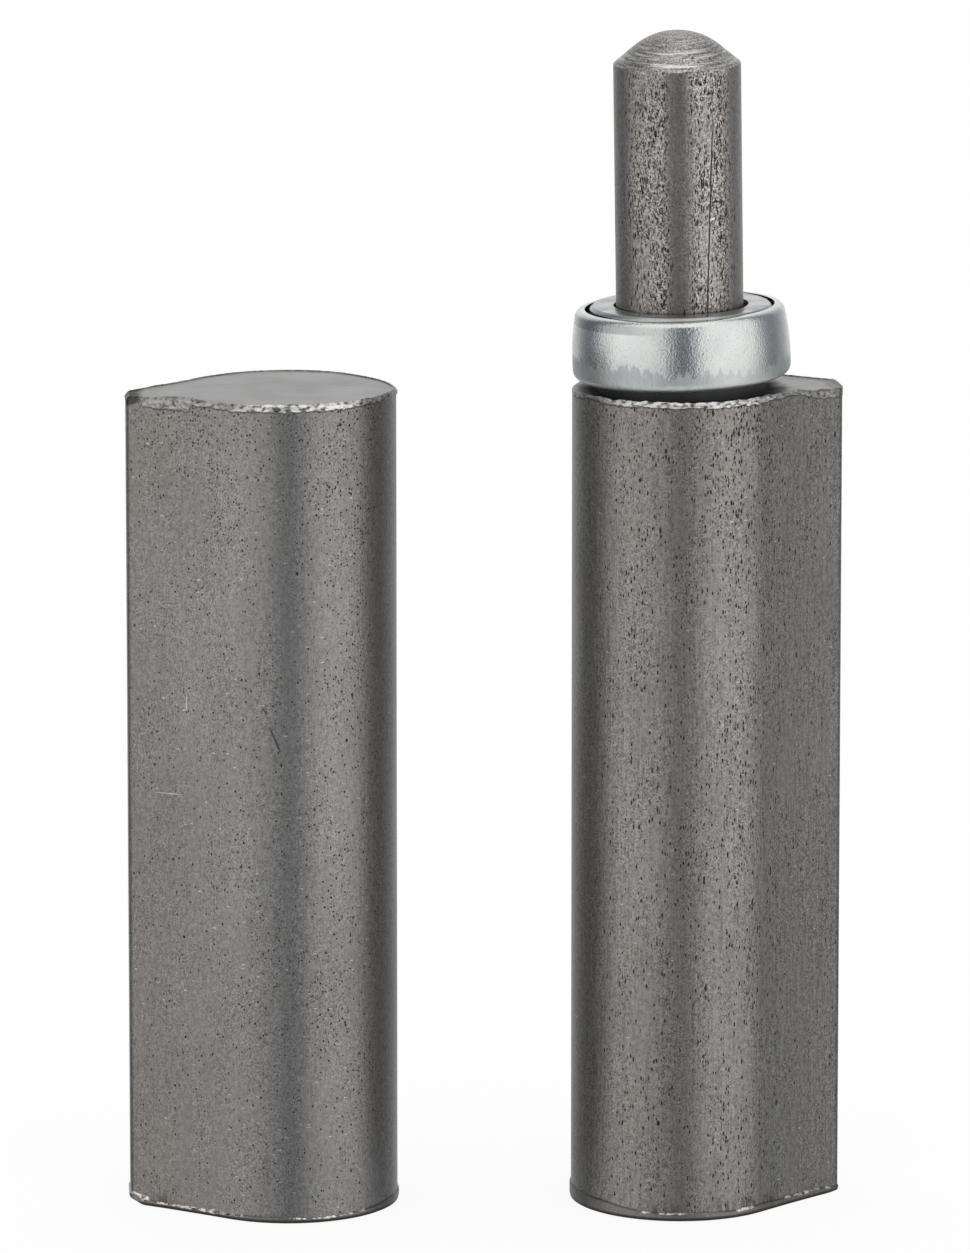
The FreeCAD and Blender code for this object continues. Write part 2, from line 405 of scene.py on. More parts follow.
def displace(piece, name, strength, group, direction="NORMAL", size=None):
    push = piece.modifiers.new(name, "DISPLACE")
    push.strength = strength * MM
    push.direction = direction
    push.vertex_group = group
    push.mid_level = 0
    if size:
        clouds = bpy.data.textures.new(name, "CLOUDS")
        clouds.noise_scale = size * MM
        push.texture = clouds
        push.texture_coords = "LOCAL"
    pick(piece)
    bpy.ops.object.modifier_apply(modifier=push.name)


def shape_ends(leaf):
    displace(leaf, "band", BAND_PROUD, "smear")
    displace(leaf, "crumbs", CRUMBS_PROUD, "smear", size=0.5)
    displace(leaf, "foot", LIP_PROUD, "foot")
    displace(leaf, "foot_wave", LIP_WAVES, "foot", size=2.5)
    displace(leaf, "raise", 1.0, "raise", direction="Z")
    displace(leaf, "sink", -1.0, "sink", direction="Z")


# %% [markdown]
# ## The bores
# The holes are cut with a boolean whose cutter has the shape of the hole: a cylinder with a drill point and a
# chamfered mouth. A hole could also be built by inset and extrude, but the end face is one large polygon, and
# the boolean leaves its flat shading alone.

# %% Drill a blind hole
DRILL_SLOPE = 31
HOLE_STEPS = 160


def drill_cutter(radius, depth, mouth_chamfer):
    """The space of a drilled hole, going up from its mouth at height 0."""
    wide = radius + mouth_chamfer
    one_point("drill", (0, 0, -1))
    draw_to((wide, 0, 0))
    draw_to((0, 0, 1))
    draw_to((-mouth_chamfer, 0, mouth_chamfer))
    draw_to((0, 0, depth - mouth_chamfer))
    draw_to((-radius, 0, radius * math.tan(math.radians(DRILL_SLOPE))))
    turn_all(HOLE_STEPS)
    return done()


def drill(leaf, cutter):
    hole = leaf.modifiers.new("hole", "BOOLEAN")
    hole.operation = "DIFFERENCE"
    hole.solver = "EXACT"
    hole.object = cutter
    pick(leaf)
    bpy.ops.object.modifier_apply(modifier="hole")
    bpy.data.objects.remove(cutter)


# %% Make a whole leaf where it stands
def set_down(piece, degrees, place):
    """Turns and places the mesh itself, so that the object stays at the origin."""
    turn = Matrix.Rotation(math.radians(degrees), 4, "Z")
    piece.data.transform(Matrix.Translation(Vector(place) * MM) @ turn)


def make_leaf(name, cut):
    draw_drop(name)
    raise_bar()
    leaf = done()
    close_foot(leaf)
    close_top(leaf)
    paint_cuts(leaf, cut)
    shape_ends(leaf)
    return leaf


SHANK, JOURNAL, BORE = 6.0, 5.83, 5.89
HALVES_APART, UPPER_BACK = 36.1, -0.75
LOWER_TURN, UPPER_TURN = 11.9, 183.0

# Stretches are in millimetres along the section's x, from the barrel's axis towards the nose.
NOWHERE = (30, 31)
LOWER_CUT = {
    "side": -1,  # the blade came out on this side in y
    "seed": 2.0,  # picks the pattern of the noise
    "seat": 8.7,  # radius of the flat seat for the bearing
    "burr": 0.3,  # height of the burr
    "root": 0.22,  # height above the plain end at which the smeared band starts
    "dip": NOWHERE,  # stretch where the burr is low
    "flake": (11.0, 16.0, 0.75, 1.5),  # stretch of the folded flake, its length and how softly it ends
    "fresh": (-7.5, 7.0, 0.75),  # stretch of the fresh bright steel and its share
    "nose_drop": 0.15,  # how far the top slopes down towards the nose
    "nose_front": 0.4,  # how much lower the burr is near the nose
    "behind_drop": 0.0,  # how much lower the side away from the blade lies
    "nose_bend": -0.22,  # how far the nose's edge is bent down, and below zero up
    "nose_painted_shade": 0.2,  # how dark the nose's corner is painted, as painted shade
    "tuck": 0.1,  # how far the foot is drawn up at the nose
    "round_smooth": 0.85,  # how far the band fades out at the round end
    "lip": (1.3, 0.75, 0.45),  # height of the foot's lip at the round end, along the front and at the nose
    "flecks": [(-5.4, -1.5, 0.14), (3.3, 5.0, 0.16), (8.7, 14.0, 0.14)],  # stretches of bright flecks and depths
    "flank_rubbed": 0.7,  # share of the pits that is rubbed off the flank
    "worn": (0.8, 6.0, 0.3),  # stretch with more pits and how many more
    "smudges": [(-5.2, -2.0), (0.6, 5.0), (6.2, 7.6)],  # stretches of the smudges above the lip
}
UPPER_CUT = {
    "side": 1,
    "seed": 5.0,
    "seat": -1,
    "burr": 0.26,
    "root": 0.06,
    "dip": (3.0, 8.5),
    "flake": (9.0, 13.4, 0.6, 0.1),
    "fresh": (-6.5, 4.0, 1.0),
    "nose_drop": 0.4,
    "nose_front": 0.0,
    "behind_drop": 0.15,
    "nose_bend": 0.2,
    "nose_painted_shade": 0.85,
    "tuck": 0.5,
    "round_smooth": 0.0,
    "lip": (0.85, 0.5, 0.95),
    "flecks": [(4.6, 12.3, 0.2), (-6.8, 0.4, 0.12), (13.2, 16.0, 0.5)],
    "flank_rubbed": 0.4,
    "worn": (-6.4, -2.4, 0.7),
    "smudges": [(11.0, 12.6)],
}
SEAT_DEPTH, SEAT_CHAMFER = 29.5, 0.4
BORE_DEPTH, BORE_CHAMFER = 27.6, 0.6

lower_leaf = make_leaf("lower_leaf_bar", LOWER_CUT)
seat = drill_cutter(SHANK, SEAT_DEPTH, SEAT_CHAMFER)
seat.data.transform(Matrix.Translation((0, 0, LEAF_HEIGHT * MM)) @ Matrix.Rotation(math.pi, 4, "X"))
drill(lower_leaf, seat)
set_down(lower_leaf, LOWER_TURN, (0, 0, 0))
smooth(lower_leaf, 32)
report(lower_leaf)

upper_leaf = make_leaf("upper_leaf_bar", UPPER_CUT)
drill(upper_leaf, drill_cutter(BORE, BORE_DEPTH, BORE_CHAMFER))
set_down(upper_leaf, UPPER_TURN, (-HALVES_APART, UPPER_BACK, 0))
smooth(upper_leaf, 32)
report(upper_leaf)

# %% [markdown]
# ## The pin
# The pin is a stock rod. Its foot is pressed into the leaf, its journal starts inside the bearing and is turned
# down a little, and its tip is a cone with a rounded top. The whole pin is one drawn half section, turned about
# the hinge's axis. A lathe part is always easiest this way, because its corners stay exact. On the real hinge
# the pin leans to the left by a little less than a degree, so the finished mesh is leaned as well.

# %% Turn the pin
PIN_FOOT, JOURNAL_START, TIP = 48.1, 80.6, 109.45
FOOT_CHAMFER = 0.8
STEP_IN, STEP_UP = 0.03, 0.12
TIP_ROUND, CONE_SLOPE = 6.2, 40
LEAN, PIN_SHIFT = 0.8, -0.06
LATHE_STEPS = 192

slope = math.radians(CONE_SLOPE)
cone_top = Vector((TIP_ROUND * math.sin(slope), TIP_ROUND * (math.cos(slope) - 1)))
cone_drop = (JOURNAL - STEP_IN - cone_top.x) * math.tan(slope)
SHOULDER = TIP + cone_top.y - cone_drop


def lean(piece, left, back, height, shift):
    """Leans a finished mesh by degrees about a point on the axis at this height, and then shifts it."""
    about = Matrix.Translation((0, 0, height * MM))
    turn = Matrix.Rotation(-math.radians(left), 4, "Y") @ Matrix.Rotation(-math.radians(back), 4, "X")
    piece.data.transform(Matrix.Translation(Vector(shift) * MM) @ about @ turn @ about.inverted())


one_point("turned_pin", (0, 0, PIN_FOOT))
draw_to((SHANK - FOOT_CHAMFER, 0, 0))
draw_to((FOOT_CHAMFER, 0, FOOT_CHAMFER))
draw_to((0, 0, JOURNAL_START - PIN_FOOT - FOOT_CHAMFER))
draw_to((JOURNAL - SHANK, 0, 0))
draw_to((0, 0, SHOULDER - JOURNAL_START - STEP_UP))
draw_to((-STEP_IN, 0, STEP_UP))
draw_to((cone_top.x + STEP_IN - JOURNAL, 0, cone_drop))
sweep((0, 0, TIP - TIP_ROUND), CONE_SLOPE, 30, FROM_FRONT)
turn_all(LATHE_STEPS)
pin = done()
lean(pin, LEAN, 0, LEAF_HEIGHT, (PIN_SHIFT, 0, 0))
smooth(pin, 28)
report(pin)
print("the cone starts at", round(SHOULDER, 2), "mm")

# %% [markdown]
# ## The bearing
# A pressed sheet shell holds two rings and a row of loose balls. Only its crowned outside, its rounded lips and
# the top of the upper ring can be seen. The shell is drawn as a single line, turned round, and then given its
# thickness with Solidify, which is just how sheet metal is: one surface with a wall. It sits loose on its ring
# and hangs about two degrees to the left and one to the back, and this too is done to the finished mesh.

# %% Turn the shell
SHELL_LIFT, SHELL_TOP, SHELL_GIRTH = 1.2, 7.7, 3.05
SHELL_RADIUS, SHELL_CROWN, SHELL_WALL = 10.0, 22.0, 0.65
TOP_ROUND, FOOT_ROUND = 0.75, 0.9
LIP_DEPTH_LOW, LIP_DEPTH_HIGH = 1.3, 0.8
SHELL_LEAN_LEFT, SHELL_LEAN_BACK, BEARING_LIFT = 2.2, 1.2, 0.17
SHELL_STEPS = 256


def on_leaf(radius, height):
    return (radius, 0, LEAF_HEIGHT + height)


def crown_centre(height, inset):
    """Centre of a rim round that touches the crown from inside."""
    return SHELL_RADIUS - SHELL_CROWN + math.sqrt((SHELL_CROWN - inset) ** 2 - (height - SHELL_GIRTH) ** 2)


foot_centre = crown_centre(SHELL_LIFT + FOOT_ROUND, FOOT_ROUND)
top_centre = crown_centre(SHELL_TOP - TOP_ROUND, TOP_ROUND)
lower_lip = crown_centre(SHELL_LIFT, 0) - LIP_DEPTH_LOW
upper_lip = crown_centre(SHELL_TOP, 0) - LIP_DEPTH_HIGH
crown_x = SHELL_RADIUS - SHELL_CROWN
foot_angle = math.degrees(math.atan2(SHELL_LIFT + FOOT_ROUND - SHELL_GIRTH, foot_centre - crown_x))
top_angle = math.degrees(math.atan2(SHELL_TOP - TOP_ROUND - SHELL_GIRTH, top_centre - crown_x))
lip_angle = math.degrees(math.acos((upper_lip - top_centre) / TOP_ROUND))
print("lips at", round(lower_lip, 2), "and", round(upper_lip, 2), "mm")

one_point("pressed_shell", on_leaf(lower_lip, SHELL_LIFT))
draw_to((foot_centre - lower_lip, 0, 0))
sweep(on_leaf(foot_centre, SHELL_LIFT + FOOT_ROUND), 90 + foot_angle, 12, FROM_FRONT)
sweep(on_leaf(crown_x, SHELL_GIRTH), top_angle - foot_angle, 24, FROM_FRONT)
sweep(on_leaf(top_centre, SHELL_TOP - TOP_ROUND), lip_angle - top_angle, 12, FROM_FRONT)
turn_all(SHELL_STEPS)
shell = done()
wall = shell.modifiers.new("wall", "SOLIDIFY")
wall.thickness = SHELL_WALL * MM
wall.offset = -1
pick(shell)
bpy.ops.object.modifier_apply(modifier="wall")
lean(shell, SHELL_LEAN_LEFT, SHELL_LEAN_BACK, LEAF_HEIGHT + SHELL_GIRTH, (0, 0, BEARING_LIFT))
smooth(shell, 40)
report(shell)

# %% [markdown]
# ## The two rings
# The upper ring carries the upper leaf and shows as a flat face inside the shell's lip, with a dark gap round
# it. Its edge is chamfered, and it leans a degree with the shell, which is as far as it can lean and still turn
# round the pin. The lower ring rests on the leaf and shows only as a dark foot below the shell. Both are turned
# sections with a groove for the balls. The corners are eased with a bevel, because no turned edge is perfectly
# sharp.


# %% Turn a ring from the corners of its section
def turn_ring(name, corners, eased):
    start = corners[0]
    one_point(name, on_leaf(*start))
    for (r0, z0), (r1, z1) in zip(corners, corners[1:]):
        draw_to((r1 - r0, 0, z1 - z0))
    bpy.ops.mesh.select_all(action="SELECT")
    bpy.ops.mesh.edge_face_add()
    bpy.ops.mesh.delete(type="ONLY_FACE")
    turn_all(LATHE_STEPS)
    ring = done()
    ease = ring.modifiers.new("ease", "BEVEL")
    ease.width = eased * MM
    ease.segments = 3
    ease.limit_method = "ANGLE"
    ease.angle_limit = math.radians(30)
    pick(ring)
    bpy.ops.object.modifier_apply(modifier="ease")
    smooth(ring, 35)
    report(ring)
    return ring


GROOVE = (6.65, 7.1, 8.2, 8.65)
UPPER_BORE, UPPER_RADIUS, UPPER_FLANGE = 6.17, 8.38, 8.75
UPPER_FOOT, UPPER_GROOVE, UPPER_NECK, RING_TOP = 5.3, 5.8, 6.3, 8.05
RING_CHAMFER = 0.3
UPPER_RING_SHIFT, RING_LEAN_LEFT, RING_LEAN_BACK = -0.05, 1.0, 1.2
upper_groove = list(zip(GROOVE, (UPPER_FOOT, UPPER_GROOVE, UPPER_GROOVE, UPPER_FOOT)))
upper_ring = turn_ring(
    "upper_ring",
    [
        (UPPER_BORE, UPPER_FOOT), *upper_groove, (UPPER_FLANGE, UPPER_FOOT), (UPPER_FLANGE, UPPER_GROOVE),
        (UPPER_RADIUS, UPPER_NECK), (UPPER_RADIUS, RING_TOP - RING_CHAMFER),
        (UPPER_RADIUS - RING_CHAMFER, RING_TOP), (UPPER_BORE, RING_TOP),
    ],
    eased=0.08,
)
lean(upper_ring, RING_LEAN_LEFT, RING_LEAN_BACK, LEAF_HEIGHT + RING_TOP, (UPPER_RING_SHIFT, 0, 0))

LOWER_BORE, FOOT_RADIUS, LOWER_FLANGE = 6.2, 7.7, 9.3
LOWER_GROOVE, LOWER_TOP = 2.34, 2.9
FLANGE_FOOT, FLANGE_CHAMFER = 1.85, 0.35
lower_groove = list(zip(GROOVE, (LOWER_TOP, LOWER_GROOVE, LOWER_GROOVE, LOWER_TOP)))[::-1]
lower_ring = turn_ring(
    "lower_ring",
    [
        (LOWER_BORE, 0), (FOOT_RADIUS, 0), (FOOT_RADIUS, FLANGE_FOOT),
        (LOWER_FLANGE - FLANGE_CHAMFER, FLANGE_FOOT), (LOWER_FLANGE, FLANGE_FOOT + FLANGE_CHAMFER),
        (LOWER_FLANGE, LOWER_TOP), *lower_groove, (LOWER_BORE, LOWER_TOP),
    ],
    eased=0.1,
)

# %% [markdown]
# ## Finishes
# A finish is a small network of nodes. The helper below adds one node and wires it, so that each finish reads
# as a list of ingredients. All patterns use Object coordinates, which are metres here, so a scale of 5000 is a
# grain of a fifth of a millimetre.


# %% A helper that adds and wires nodes
class Finish:
    def __init__(self, name):
        self.material = bpy.data.materials.new(name)
        self.material.use_nodes = True
        self.tree = self.material.node_tree
        self.shader = self.tree.nodes["Principled BSDF"]
        self.place = self.add("ShaderNodeTexCoord").outputs["Object"]

    def add(self, kind, wires=None, **settings):
        node = self.tree.nodes.new(kind)
        for key, value in settings.items():
            setattr(node, key, value)
        for socket, value in (wires or {}).items():
            self.wire(value, node.inputs[socket])
        return node

    def painted(self, attribute):
        return self.add("ShaderNodeAttribute", attribute_name=attribute).outputs

    def wire(self, value, socket):
        if isinstance(value, bpy.types.NodeSocket):
            self.tree.links.new(value, socket)
        else:
            socket.default_value = value

    def parts(self, vector=None):
        vector = self.place if vector is None else vector
        return self.add("ShaderNodeSeparateXYZ", {0: vector}).outputs

    def from_axis(self, x, y):
        """Distance from the upright axis."""
        return self.calc("SQRT", self.calc("ADD", self.times(x, x), self.times(y, y)))

    def cells(self, scale, shift):
        """Coordinates that count cells of 1 / scale metres in each direction."""
        wires = {"Vector": self.place, "Scale": scale, "Location": (shift,) * 3}
        return self.add("ShaderNodeMapping", wires).outputs["Vector"]

    def grain(self, scale, detail=3.0, shift=0.0):
        """Noise between 0 and 1."""
        wires = {"Vector": self.cells(scale, shift), "Scale": 1.0, "Detail": detail}
        return self.add("ShaderNodeTexNoise", wires).outputs["Fac"]

    def specks(self, scale, share, size, shift=0.0):
        """Spots in a random share of the cells, each of random size up to this part of its cell, with uneven rims."""
        place = self.cells(scale, shift)
        sway = self.add("ShaderNodeTexNoise", {"Vector": place, "Scale": 2.5, "Detail": 1.0}).outputs["Color"]
        wires = {0: sway, 1: (0.5,) * 3, 2: place}
        uneven = self.add("ShaderNodeVectorMath", wires, operation="MULTIPLY_ADD").outputs[0]
        spots = self.add("ShaderNodeTexVoronoi", {"Vector": uneven, "Scale": 1.0}).outputs
        chance = self.add("ShaderNodeSeparateColor", {"Color": spots["Color"]}).outputs[0]
        reach = self.ramp(chance, self.calc("SUBTRACT", 1.0, share), 1.0, 0.0, size)
        return self.ramp(self.calc("SUBTRACT", spots["Distance"], reach), 0.0, -0.08)

    def stroke(self, x, z, half_length, half_width, degrees):
        """A single scratch on the side that faces the camera, centred at x and z in millimetres."""
        place = self.add("ShaderNodeMapping", {
            "Vector": self.place, "Location": Vector((x, 0, z)) * MM, "Rotation": (0, math.radians(degrees), 0),
            "Scale": (half_width * MM, 1, half_length * MM),
        }, vector_type="TEXTURE").outputs[0]
        across, front, along = self.parts(place)
        uneven = self.calc("ADD", self.calc("ABSOLUTE", across), self.grain((2500,) * 3, 2.0))
        ends = self.ramp(self.calc("ABSOLUTE", along), 1.0, 0.7)
        return self.times(self.ramp(uneven, 1.5, 1.0), ends, self.ramp(front, 0, -0.001))

    def ramp(self, value, low, high, first=0.0, last=1.0):
        wires = {"Value": value, "From Min": low, "From Max": high, "To Min": first, "To Max": last}
        return self.add("ShaderNodeMapRange", wires).outputs["Result"]

    def calc(self, operation, a, b=0.0):
        return self.add("ShaderNodeMath", {0: a, 1: b}, operation=operation).outputs[0]

    def times(self, *factors):
        product = factors[0]
        for factor in factors[1:]:
            product = self.calc("MULTIPLY", product, factor)
        return product

    def mix(self, factor, a, b):
        """Blends two numbers, as blend does two colours."""
        return self.add("ShaderNodeMix", {0: factor, 2: a, 3: b}).outputs[0]

    def blend(self, factor, a, b):
        node = self.add("ShaderNodeMix", data_type="RGBA")
        self.wire(factor, node.inputs[0])
        self.wire(a, node.inputs[6])
        self.wire(b, node.inputs[7])
        return node.outputs[2]

    def sum_of(self, start, *terms):
        """Adds terms of a pattern between 0 and 1, the swing it makes."""
        for pattern, swing in terms:
            centred = self.calc("MULTIPLY", self.calc("SUBTRACT", pattern, 0.5), swing)
            start = self.calc("ADD", start, centred)
        return start

    def shaded(self, colour, shade):
        return self.add("ShaderNodeVectorMath", {0: colour, "Scale": shade}, operation="SCALE").outputs[0]

    def relief(self, height, depth):
        """A bump whose full height is the given depth in millimetres."""
        wires = {"Height": height, "Distance": depth * MM, "Strength": 1.0}
        return self.add("ShaderNodeBump", wires).outputs["Normal"]

    def set(self, **inputs):
        for name, value in inputs.items():
            self.wire(value, self.shader.inputs[name.replace("_", " ")])


# %% [markdown]
# ### Drawn steel
# The bar was pulled through a die. That leaves fine lines along its length, a close speckle and scattered pits,
# longer than wide, which look nearly black. Oil and handling tint it brown in patches and smudge it above the
# foot. The smeared band at the cut is fresh steel and much brighter. The pin has the same skin, but it is pitted
# all over in two upright stripes, and a split seam runs down its right side.

# %% Mix the drawn steel
def steel_colour(grey, warm):
    return (grey * (1 + warm), grey, grey * (1 - warm), 1)


# The pits' colour also paints the shadow along the leaves' bottom edge.
PIT_AND_SHADE_COLOUR, SPLIT_COLOUR = steel_colour(0.025, 0.1), steel_colour(0.03, 0.1)
# The first is the colour of the painted shade along the band, the lip and the nose's corner; the second, of smudges.
PAINTED_SHADE_COLOUR, SMUDGE_COLOUR = steel_colour(0.045, 0.1), steel_colour(0.06, 0.12)
# Fresh torn steel, and also the colour of the painted glints on the pin's tip.
BRIGHT_STEEL_AND_GLINT_COLOUR = steel_colour(0.88, 0.01)


def skin(f, tone, speckle, streaks, pitted, pit_scale, nicked):
    """Colour, gloss and height of the drawn skin. Pitted and nicked are the shares of cells with a pit or a nick."""
    patches = f.grain((140, 140, 60), 3.0)
    rough = f.ramp(f.grain((420, 420, 130), 2.0, shift=7.0), 0.36, 0.6, 0.4, 1.0)
    lines = f.ramp(f.grain((5200, 5200, 180), 2.0), 0.35, 0.65)
    fine = f.ramp(f.grain((6500, 6500, 5500), 1.0, shift=11.0), 0.36, 0.64)
    coarse = f.ramp(f.grain((2600, 2600, 2000), 2.0, shift=19.0), 0.36, 0.64)
    share = f.times(rough, pitted)
    small = f.specks(pit_scale, share, 0.44)
    large = f.specks([0.5 * scale for scale in pit_scale], f.times(share, 0.2), 0.3, shift=3.0)
    pits = f.calc("MAXIMUM", small, large)
    nicks = f.specks((1500, 1500, 4200), nicked, 0.34, shift=9.0)

    shade = f.sum_of(
        1.0, (patches, 0.25), (lines, streaks), (coarse, f.times(speckle, 0.4)), (fine, f.times(rough, speckle))
    )
    colour = f.blend(f.times(pits, 0.9), f.shaded(tone, shade), PIT_AND_SHADE_COLOUR)
    colour = f.blend(f.times(nicks, 0.5), colour, steel_colour(0.8, 0.01))
    gloss = f.calc("ADD", f.ramp(patches, 0.3, 0.7, 0.43, 0.37), f.times(pits, 0.2))
    height = f.sum_of(0.0, (lines, 0.3), (coarse, 0.6), (fine, 0.4), (pits, -1.4))
    return colour, gloss, height


# %% Lay the cut ends over the skin
def with_cut_ends(f, colour, grey, z):
    """Adds the smeared band, the lip at the foot, its flecks and smudges, painted shadow along the borders of the
    band and the lip, painted shade at the nose's corner and a painted shadow along the bottom edge.

    The borders of the band and of the lip lie at 0.5 in their marks, where half a unit is a millimetre.
    """
    above_root, fresh, nose_shade = f.parts(f.painted("cut_marks")["Vector"])
    flecks, below_lip, smudges = f.parts(f.painted("foot_marks")["Vector"])
    on_lip = f.ramp(below_lip, 0.49, 0.52)
    colour = f.blend(f.times(on_lip, 0.75), colour, steel_colour(grey * 0.68, 0.05))
    smeared = f.ramp(f.grain((2600, 2600, 420), 3.0, shift=5.0), 0.42, 0.56)
    colour = f.blend(f.times(smudges, smeared, f.ramp(below_lip, 0.52, 0.49), 0.75), colour, SMUDGE_COLOUR)
    crumbs = f.grain((1700, 1700, 3000), 5.0)
    bright = f.times(f.ramp(crumbs, 0.4, 0.56), f.calc("MAXIMUM", f.ramp(fresh, 0, 1, 0.1, 1), flecks))
    dull = f.blend(f.ramp(crumbs, 0.36, 0.66), steel_colour(grey * 0.6, 0.08), steel_colour(grey * 1.7, 0.05))
    torn = f.blend(bright, dull, BRIGHT_STEEL_AND_GLINT_COLOUR)
    torn = f.blend(f.ramp(crumbs, 0.4, 0.32, 0, 0.8), torn, steel_colour(0.06, 0.1))
    colour = f.blend(f.calc("MAXIMUM", f.ramp(above_root, 0.48, 0.51), f.ramp(flecks, 0.3, 0.6)), colour, torn)
    # Painted shadow just under the band's border and along the lip's border, with the painted shade at the nose.
    shadow_under_band = f.times(f.ramp(above_root, 0.4, 0.46), f.ramp(above_root, 0.51, 0.49), 0.7)
    lip_shadow = f.times(f.ramp(below_lip, 0.42, 0.47), f.ramp(below_lip, 0.52, 0.5), f.ramp(flecks, 0.3, 0.1), 0.5)
    dirt_and_shade = f.calc("MAXIMUM", f.calc("MAXIMUM", shadow_under_band, lip_shadow), nose_shade)
    colour = f.blend(dirt_and_shade, colour, PAINTED_SHADE_COLOUR)
    # A painted shadow darkens the last fraction of a millimetre along the bottom edge, where the leaf stands.
    return f.blend(f.ramp(z, 0.45 * MM, 0.25 * MM, 0, 0.95), colour, PIT_AND_SHADE_COLOUR)


# %% Mix the steel of a bar
def bar_steel(name, greys, warmths, x_from, x_to, strokes, pits, **skin_sizes):
    """The bar's skin with its cut ends. Greys and warmths run from left to right over a span in millimetres."""
    f = Finish(name)
    x, _, z = f.parts()
    across = f.ramp(x, x_from * MM, x_to * MM)
    tint = f.sum_of(across, (f.grain((130, 130, 60), 2.0, shift=31.0), 2.4))
    warm_tone, cool_tone = (steel_colour(1.0, warmth) for warmth in warmths)
    tone = f.shaded(f.blend(f.ramp(tint, 0, 1), warm_tone, cool_tone), f.mix(across, *greys))
    colour, gloss, height = skin(f, tone, pitted=f.times(f.painted("wear")["Fac"], pits), **skin_sizes)
    for stroke, stroke_grey in strokes:
        colour = f.blend(f.times(f.stroke(*stroke), 0.8), colour, steel_colour(stroke_grey, 0.03))
    # Painted shade: the skin grows darker towards the bottom of the leaf.
    colour = f.shaded(colour, f.ramp(z, 0, 45 * MM, 0.84, 1.0))
    colour = with_cut_ends(f, colour, greys[1], z)
    f.set(Base_Color=colour, Roughness=gloss, Metallic=1.0, Normal=f.relief(height, 0.01))
    return f.material


# %% Turn the tip's rings in its colour
def turned_tip(f, x_here, x, y, z, grey, warm):
    """Where the tip is, its colour, and the rings and the mottle that also give its height.

    The rings are noise in the distance from the axis, broken by a little of x and y, with cuts and glints. The glints
    are painted highlights that fade towards the sides, and the right side of the tip is painted lighter.
    """
    across = f.from_axis(x_here, y)
    turns = f.add("ShaderNodeCombineXYZ", {
        "X": f.times(across, 5600.0), "Y": f.times(x, 300.0), "Z": f.times(y, 300.0)
    })
    rings = f.add("ShaderNodeTexNoise", {"Vector": turns.outputs[0], "Scale": 1.0, "Detail": 3.0}).outputs["Fac"]
    ragged_z = f.calc("ADD", z, f.times(f.calc("SUBTRACT", f.grain((700, 700, 1), 3.0), 0.5), 1.6 * MM))
    on_tip = f.ramp(ragged_z, (SHOULDER - 0.1) * MM, (SHOULDER - 0.02) * MM)
    rougher = f.ramp(z, (TIP - 0.3) * MM, (SHOULDER + 1.0) * MM, 0.2, 1.0)
    # Painted light: the glints are painted highlights that fade towards the sides, and the tip's right side is
    # painted lighter.
    in_front = f.ramp(f.calc("ABSOLUTE", x_here), 2.5 * MM, 5 * MM, 1.0, 0.25)
    cuts = f.times(f.ramp(rings, 0.42, 0.36), rougher)
    pocks = f.specks((2000, 2000, 3000), 0.14, 0.4, shift=13.0)
    glints = f.times(f.ramp(rings, 0.58, 0.63), rougher, in_front)
    mottle = f.ramp(f.grain((5500, 5500, 4500), 2.0), 0.38, 0.62)
    lit_side = f.ramp(x_here, -4 * MM, 3 * MM, 0.88, 1.1)
    faint = f.times(f.ramp(rings, 0.36, 0.64), rougher)
    shade = f.times(lit_side, f.sum_of(1.05, (faint, 0.5), (mottle, 0.85)))
    turned = f.shaded(steel_colour(grey * 1.22, warm * 0.6)[:3], shade)
    turned = f.blend(f.times(f.calc("MAXIMUM", f.times(cuts, 0.6), pocks), 0.85), turned, steel_colour(0.05, 0.05))
    turned = f.blend(f.times(glints, 0.85), turned, BRIGHT_STEEL_AND_GLINT_COLOUR)
    return on_tip, turned, rings, mottle


# %% Split the rod along its seam
SEAM_X, SEAM_HEIGHT, SEAM_SLANT, SEAM_TOP = 2.28, 85.5, 0.024, 105
NICK_ASIDE, NICK_HEIGHT = 0.42, 92.9


def with_seam(f, colour, x, y, z):
    """Adds a dark, swaying split that ends short of the tip, a painted highlight on its flanks, and a bright nick
    beside it.
    """
    sway = f.times(f.calc("SUBTRACT", f.grain((1, 1, 500), 3.0), 0.5), 0.5 * MM)
    askew = f.calc("ADD", SEAM_X * MM, f.times(f.calc("SUBTRACT", z, SEAM_HEIGHT * MM), SEAM_SLANT))
    off_seam = f.calc("ABSOLUTE", f.calc("SUBTRACT", f.calc("SUBTRACT", x, askew), sway))
    split = f.times(f.ramp(z, SEAM_TOP * MM, (SEAM_TOP - 6) * MM), f.ramp(y, 0, -1 * MM))
    # A painted highlight lightens the steel on both sides of the split.
    colour = f.blend(f.times(f.ramp(off_seam, 0.24 * MM, 0.1 * MM), split, 0.3), colour, steel_colour(0.6, 0.04))
    colour = f.blend(f.times(f.ramp(off_seam, 0.1 * MM, 0.04 * MM), split), colour, SPLIT_COLOUR)
    nick = f.stroke(SEAM_X + NICK_ASIDE, NICK_HEIGHT, 0.25, 0.12, 70)
    return f.blend(nick, colour, steel_colour(0.85, 0.01))


